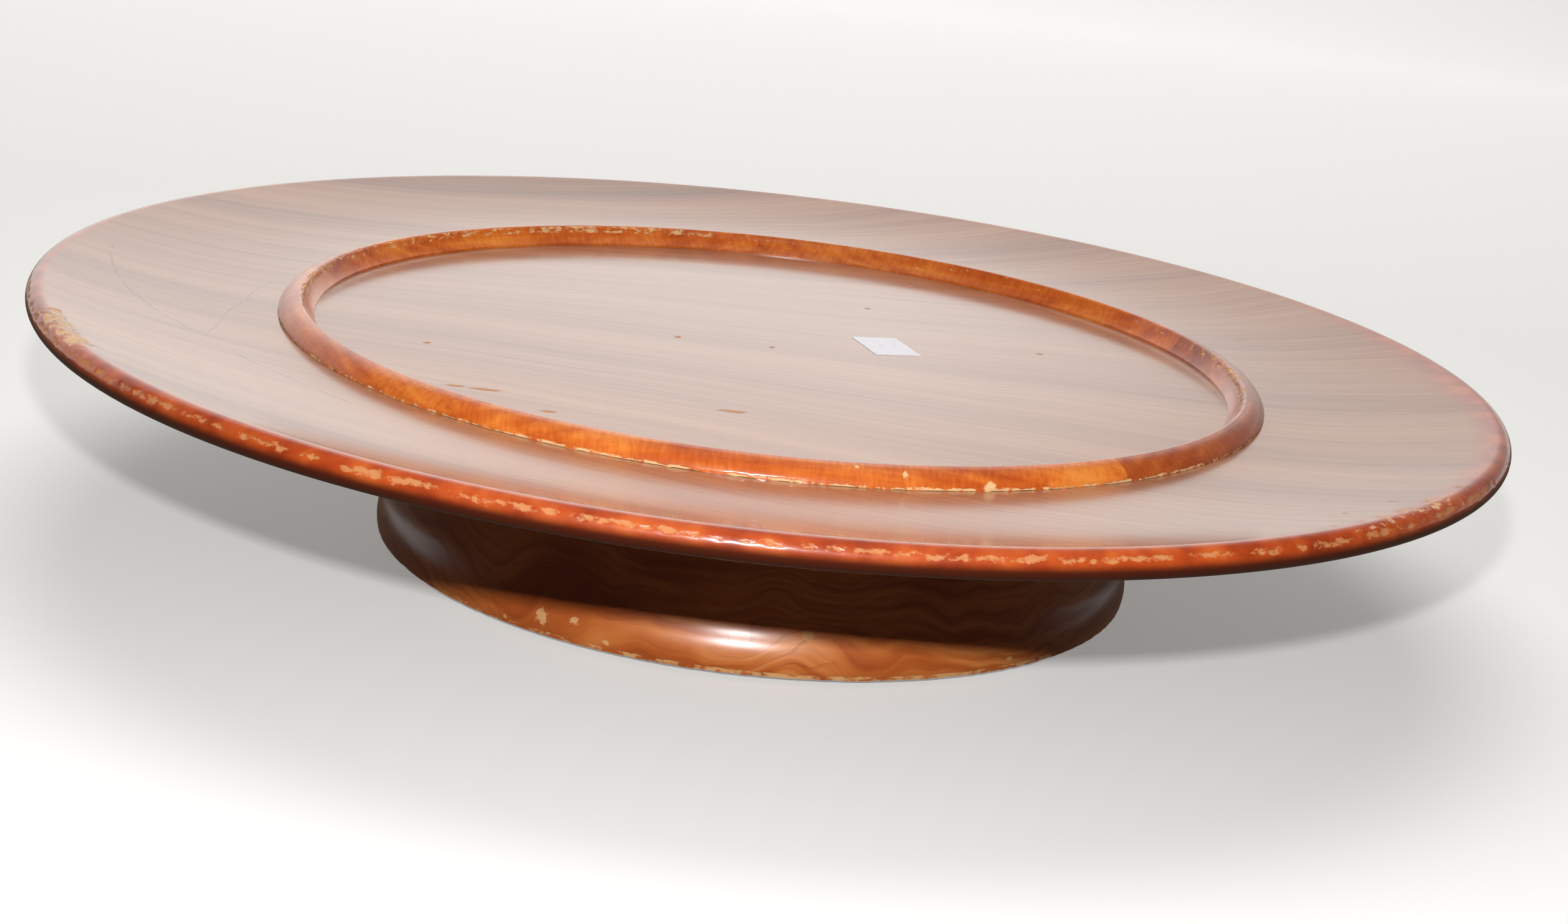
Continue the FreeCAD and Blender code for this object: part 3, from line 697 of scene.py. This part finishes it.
rim_wear = [(-180, 0.75), (-165, 0.9), (-152, 1.3), (-140, 1.5), (-128, 1.55), (-118, 1.4),
            (-110, 1.45), (-103, 1.6), (-96, 1.4), (-90, 0.8), (-82, 0.95), (-72, 1.0),
            (-62, 0.85), (-53, 1.15), (-43, 1.4), (-34, 1.1), (-25, 0.7), (30, 0.6),
            (90, 0.75), (140, 0.75), (180, 0.75)]
rim_top_wear = [(-180, 0.3), (-156, 0.3), (-153.5, 1.3), (-147, 1.35), (-144.5, 0.7),
                (-141, 0.35), (-60, 0.3), (-50, 0.6), (-38, 0.85), (-30, 0.5), (0, 0.3),
                (180, 0.3)]
tray_tree = turned_tree("turned_tray", rim_wear, rim_top_wear)
tray = turned("tray_face", tray_tree, tray_profile, tray_steps, walnut,
              chip_size=rim_chip, chip_depth=rim_chip_depth)
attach(tray, "tray")
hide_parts("tray_board")

# ---- bead ring
# A raised moulding of amber-toned maple round the level middle, glued up from five
# arcs that were each cut from a straight piece, so the figure changes at every joint.
bead_steps = 340
bead_chip = 0.0016
bead_chip_depth = 0.0002
bead_segments = 5
bead_start = -50.0
bead_height = 0.0063
bead_lip = 0.0007
glue_line = 0.00005
crest_round = 0.0014
crest_inset = 0.0049
crest_in_turn = 150
crest_top_turn = 102
crest_out_turn = 72
hollow_depth = 0.00035
swell_depth = 0.0007
crest_centre = (bead_inner_radius + crest_inset, field_level + bead_height - crest_round)
crest_in, crest_out = (arc(crest_centre, crest_round, turn, turn, 1)[0][:2]
                       for turn in (crest_in_turn, crest_out_turn))
inner_lip = (bead_inner_radius, field_level + bead_lip)
outer_foot = (bead_outer_radius, board_level(bead_outer_radius))
outer_lip = (outer_foot[0], outer_foot[1] + bead_lip)
hollow = ((inner_lip[0] + crest_in[0]) / 2 + hollow_depth,
          (inner_lip[1] + crest_in[1]) / 2 - hollow_depth)
swell = ((crest_out[0] + outer_lip[0]) / 2 + swell_depth,
         (crest_out[1] + outer_lip[1]) / 2 + swell_depth)
seat_radius = (step_radius + bead_outer_radius) / 2
seat = (seat_radius, board_level(seat_radius))
bead_profile = [(bead_inner_radius, field_level, 0, 0), (step_radius, field_level, 0, 0),
                (step_radius, shoulder_level, 0, 0)]
bead_profile += arc_through((step_radius, shoulder_level), seat, outer_foot, 5)[1:]
bead_profile[-1] = bead_profile[-1][:2] + (1.0, 0)
bead_profile += [outer_lip[:1] + (outer_lip[1] - bead_lip / 2, 1.0, 0), outer_lip + (0.9, 0)]
outer_side = arc_through(outer_lip, swell, crest_out, 24)[1:]
bead_profile += [(r, h, max(0.0, 0.6 - 0.3 * i), 0)
                 for i, (r, h, a, b) in enumerate(outer_side)]
bead_profile += arc(crest_centre, crest_round, crest_out_turn, crest_top_turn, 4,
                    zone_b=0.25)[1:]
bead_profile += arc(crest_centre, crest_round, crest_top_turn, crest_in_turn, 6,
                    zone_b=1.0)[1:]
inner_side = arc_through(crest_in, hollow, inner_lip, 12)[1:]
bead_profile += [(r, h, 0, 1.0 if i < 3 else 0.3) for i, (r, h, a, b) in enumerate(inner_side)]
bead_profile += [(bead_inner_radius, field_level, 0, 0)]

# Lacquered curly maple toned amber: a clear deep gloss, fine ripple across the grain,
# and pale bare wood along the foot and the inner crest where cloths have rubbed.
# Fibres are 3 mm apart and 45 mm long, and the ripple is 1 mm wide.
amber, tree, shader, place = new_finish("lacquered_amber_maple")
board_turn = add(tree, "ShaderNodeAttribute", attribute_name="board_turn").outputs["Fac"]
tone = add(tree, "ShaderNodeAttribute", attribute_name="tone").outputs["Fac"]
back_turn = add(tree, "ShaderNodeMath", {0: board_turn, 1: -1.0}, operation="MULTIPLY")
own = add(tree, "ShaderNodeVectorRotate", {"Vector": place, "Angle": back_turn},
          rotation_type="Z_AXIS")
along = add(tree, "ShaderNodeMapping", {"Vector": own, "Scale": (330.0, 22.0, 330.0)})
fibres = add(tree, "ShaderNodeTexNoise", {"Vector": along, "Scale": 1.0, "Detail": 4.0})
ripple_place = add(tree, "ShaderNodeMapping", {"Vector": own, "Scale": (240.0, 900.0, 240.0)})
ripple = add(tree, "ShaderNodeTexNoise", {"Vector": ripple_place, "Scale": 1.0, "Detail": 2.0})
cloud = add(tree, "ShaderNodeTexNoise", {"Vector": place, "Scale": 34.0, "Detail": 2.0})
mix = add(tree, "ShaderNodeMath", {0: fibres, 1: 0.4, 2: add(tree, "ShaderNodeMath", {
    0: ripple, 1: 0.22, 2: add(tree, "ShaderNodeMath", {0: cloud, 1: 0.38},
                               operation="MULTIPLY")}, operation="MULTIPLY_ADD")},
    operation="MULTIPLY_ADD")
light_wood = add(tree, "ShaderNodeValToRGB", {"Fac": mix}, stops=[
    (0.36, "#B04A18"), (0.46, "#C86020"), (0.55, "#DA762A"), (0.66, "#E8903C")])
dark_wood = add(tree, "ShaderNodeValToRGB", {"Fac": mix}, stops=[
    (0.36, "#6A240E"), (0.46, "#863416"), (0.55, "#9C421E"), (0.66, "#B2562A")])
wood = add(tree, "ShaderNodeMixRGB", {"Fac": tone, "Color1": dark_wood, "Color2": light_wood})
flecks = most(tree, [spot(tree, place, around(out, azimuth, height), (size, size, size), 0.25)
                     for azimuth, out, height, size in (
    (-75.7, 0.1527, 0.0718, 0.0016), (-67.0, 0.1550, 0.0697, 0.0020),
    (-80.5, 0.1515, 0.0735, 0.0007), (-60.0, 0.1522, 0.0725, 0.0006),
    (-98.0, 0.1530, 0.0715, 0.0005), (70.0, 0.1460, 0.0710, 0.0009))])
worn = most(tree, [wear_of(tree, place, bead_chip), flecks])
lacquer(tree, shader, wood, worn, linear("#DEB482"), mix)
shader.inputs["Coat Roughness"].default_value = 0.19

foot_wear = [(-180, 1.2), (-150, 1.3), (-120, 1.25), (-100, 1.1), (-86, 1.0), (-74, 1.25),
             (-60, 1.4), (-40, 1.4), (-20, 1.3), (20, 1.0), (90, 0.8), (150, 1.0), (180, 1.2)]
crest_wear = [(-180, 0.85), (-165, 0.9), (-150, 0.7), (-120, 0.5), (-90, 0.45), (-78, 0.7),
              (-62, 0.8), (-50, 0.5), (-25, 0.7), (-10, 0.95), (8, 0.85), (25, 0.55),
              (60, 0.45), (95, 0.55), (112, 0.85), (140, 0.85), (158, 0.75), (180, 0.8)]
bead_tree = turned_tree("turned_bead", foot_wear, crest_wear)
segment_tones = [0.3, 0.8, 1.0, 0.75, 0.85]
segment_turn = 360 / bead_segments
for i, segment_tone in enumerate(segment_tones):
    segment = turned("bead_arc_%d" % (i + 1), bead_tree, bead_profile, bead_steps, amber,
                     chip_size=bead_chip, chip_depth=bead_chip_depth,
                     sweep=segment_turn - math.degrees(glue_line / bead_outer_radius),
                     start=bead_start + i * segment_turn, tone=segment_tone)
    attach(segment, "tray")
    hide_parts("bead_segment_%d" % (i + 1))

# ---- blank label
# A small sticker of coated white paper with nothing on it, stuck by its own gum to
# the level middle of the tray.

# Coated paper: cool white, faintly mottled every 2 mm, with a slight sheen.
paper, tree, shader, place = new_finish("coated_paper")
mottle = add(tree, "ShaderNodeTexNoise", {"Vector": place, "Scale": 500.0, "Detail": 3.0})
tint = add(tree, "ShaderNodeValToRGB", {"Fac": mottle}, stops=[
    (0.35, "#E4E3EA"), (0.65, "#F0EFF6")])
tree.links.new(tint.outputs[0], shader.inputs["Base Color"])
shader.inputs["Roughness"].default_value = 0.45
coat_node(paper, "blank_label")

# ---- floor and backdrop
# A pale painted floor that the part stands on, and a pale wall well behind it, joined
# to the floor by a bend.  The part's lacquer mirrors the wall.


def stage_sheet(name, corners, finish):
    """A strip of flat quads between pairs of corners."""
    sheet = bpy.data.meshes.new(name)
    quads = [(i, i + 1, i + 3, i + 2) for i in range(0, len(corners) - 2, 2)]
    sheet.from_pydata(corners, [], quads)
    sheet.polygons.foreach_set("use_smooth", [True] * len(quads))
    sheet.materials.append(finish)
    board = bpy.data.objects.new(name, sheet)
    bpy.context.scene.collection.objects.link(board)
    return board


sheet_half = 10.0
floor_front = -10.0
floor_back = 0.7
wall_start = 1.9
wall_bend = 0.6
wall_top = 3.0
surround_radius = 9.8
surround_top = 9.0
wall_half_span = 2.0
wall_glow = 1.18
near_glow = 0.28
far_glow = 0.58
far_ring_glow = 0.55

# Matt pale emulsion that glows: the floor more with distance, and the wall most behind
# the part, less to the left and hardly at all to the far right.
pale, tree, shader, place = new_finish("pale_matt_paint")
shader.inputs["Base Color"].default_value = linear("#DADAD8")
shader.inputs["Roughness"].default_value = 0.9
shader.inputs["Specular IOR Level"].default_value = 0.1
shader.inputs["Emission Color"].default_value = linear("#F7F7F5")
part = add(tree, "ShaderNodeSeparateXYZ", {0: place})
away = add(tree, "ShaderNodeVectorMath", {0: place}, operation="LENGTH").outputs["Value"]
rise = add(tree, "ShaderNodeMapRange", {
    "Value": away, "From Min": 0.6, "From Max": 2.0, "To Min": near_glow,
    "To Max": far_glow})
share = add(tree, "ShaderNodeMapRange", {
    "Value": part.outputs["X"], "From Min": -wall_half_span, "From Max": wall_half_span})
upper = add(tree, "ShaderNodeFloatCurve", {"Value": share}, points=[
    (0.0, 0.55), (0.2, 0.75), (0.34, 0.95), (0.45, 1.0), (0.54, 1.0), (0.62, 0.78), (0.7, 0.5),
    (0.8, 0.2), (1.0, 0.04)])
upper = add(tree, "ShaderNodeMath", {0: upper, 1: wall_glow}, operation="MULTIPLY")
lit = add(tree, "ShaderNodeMapRange", {
    "Value": part.outputs["Z"], "From Min": 0.04, "From Max": 0.5, "To Min": rise,
    "To Max": upper})
tree.links.new(lit.outputs[0], shader.inputs["Emission Strength"])

# The same paint on a far ring that closes the view behind the other sides.
pale_ring, tree, shader, place = new_finish("pale_matt_paint_far")
shader.inputs["Base Color"].default_value = linear("#DADAD8")
shader.inputs["Emission Color"].default_value = linear("#F7F7F5")
shader.inputs["Emission Strength"].default_value = far_ring_glow
floor = stage_sheet("pale_floor", [(side * sheet_half, reach, 0.0)
                                   for reach in (floor_front, floor_back)
                                   for side in (-1, 1)], pale)
floor.visible_glossy = False
floor.visible_diffuse = False
wall_line = [(floor_back, 0.0)]
wall_line += [(wall_start + wall_bend * math.sin(math.radians(t)),
               wall_bend - wall_bend * math.cos(math.radians(t))) for t in range(0, 91, 10)]
wall_line += [(wall_start + wall_bend, wall_top)]
stage_sheet("pale_wall", [(side * sheet_half, reach, level) for reach, level in wall_line
                          for side in (-1, 1)], pale)
turns = [math.radians(t) for t in range(0, 361, 6)]
surround = stage_sheet("pale_surround", [
    (surround_radius * math.cos(t), surround_radius * math.sin(t), level)
    for t in turns for level in (0.0, surround_top)], pale_ring)
surround.visible_glossy = False
surround.visible_diffuse = False

# ---- camera
# A lens of about 55 mm, a little above the tray's edge, looking slightly down.  It is
# rolled so that the tray leans to the right.
camera_place = Vector((0, -0.75152, 0.24664))
yaw, pitch, roll = (math.radians(a) for a in (0.57, 16.11, 6.59))
forward = Vector((math.sin(yaw) * math.cos(pitch), math.cos(yaw) * math.cos(pitch),
                  -math.sin(pitch)))
right = Vector((math.cos(yaw), -math.sin(yaw), 0))
upward = right.cross(forward)
camera_x = math.cos(roll) * right + math.sin(roll) * upward
camera_y = math.cos(roll) * upward - math.sin(roll) * right
lens = bpy.data.cameras.new("camera")
lens.sensor_width = 36.0
lens.lens = 55.41
camera = bpy.data.objects.new("camera", lens)
turned_axes = Matrix((camera_x, camera_y, -forward)).transposed().to_4x4()
camera.matrix_world = Matrix.Translation(camera_place) @ turned_axes
bpy.context.scene.collection.objects.link(camera)
bpy.context.scene.camera = camera

# ---- lights
# A small key just above the lens that throws the tray's shadow on the base, a wide
# soft box overhead that the lacquer doesn't mirror, and a dim warm surround.
key_rise = 0.09


def soft_box(name, place, aim, size, power, mirrored=True):
    """A square lamp that faces a point and is never seen itself."""
    lamp = bpy.data.lights.new(name, "AREA")
    lamp.shape = "SQUARE"
    lamp.size = size
    lamp.energy = power
    box = bpy.data.objects.new(name, lamp)
    box.location = place
    box.rotation_euler = (Vector(aim) - Vector(place)).to_track_quat("-Z", "Y").to_euler()
    box.visible_camera = False
    box.visible_glossy = mirrored
    bpy.context.scene.collection.objects.link(box)


soft_box("key", camera_place + camera_y * key_rise, (0, 0, 0.06), 0.022, 5.0)
soft_box("overhead", (0, 0.5, 1.6), (0, 0.1, 0), 1.4, 16.0, mirrored=False)
world = bpy.data.worlds.new("dim_surround")
world.use_nodes = True
world.node_tree.nodes["Background"].inputs["Color"].default_value = linear("#DEC4AC")
world.node_tree.nodes["Background"].inputs["Strength"].default_value = 0.10
bpy.context.scene.world = world
bpy.context.scene.view_settings.view_transform = "Standard"
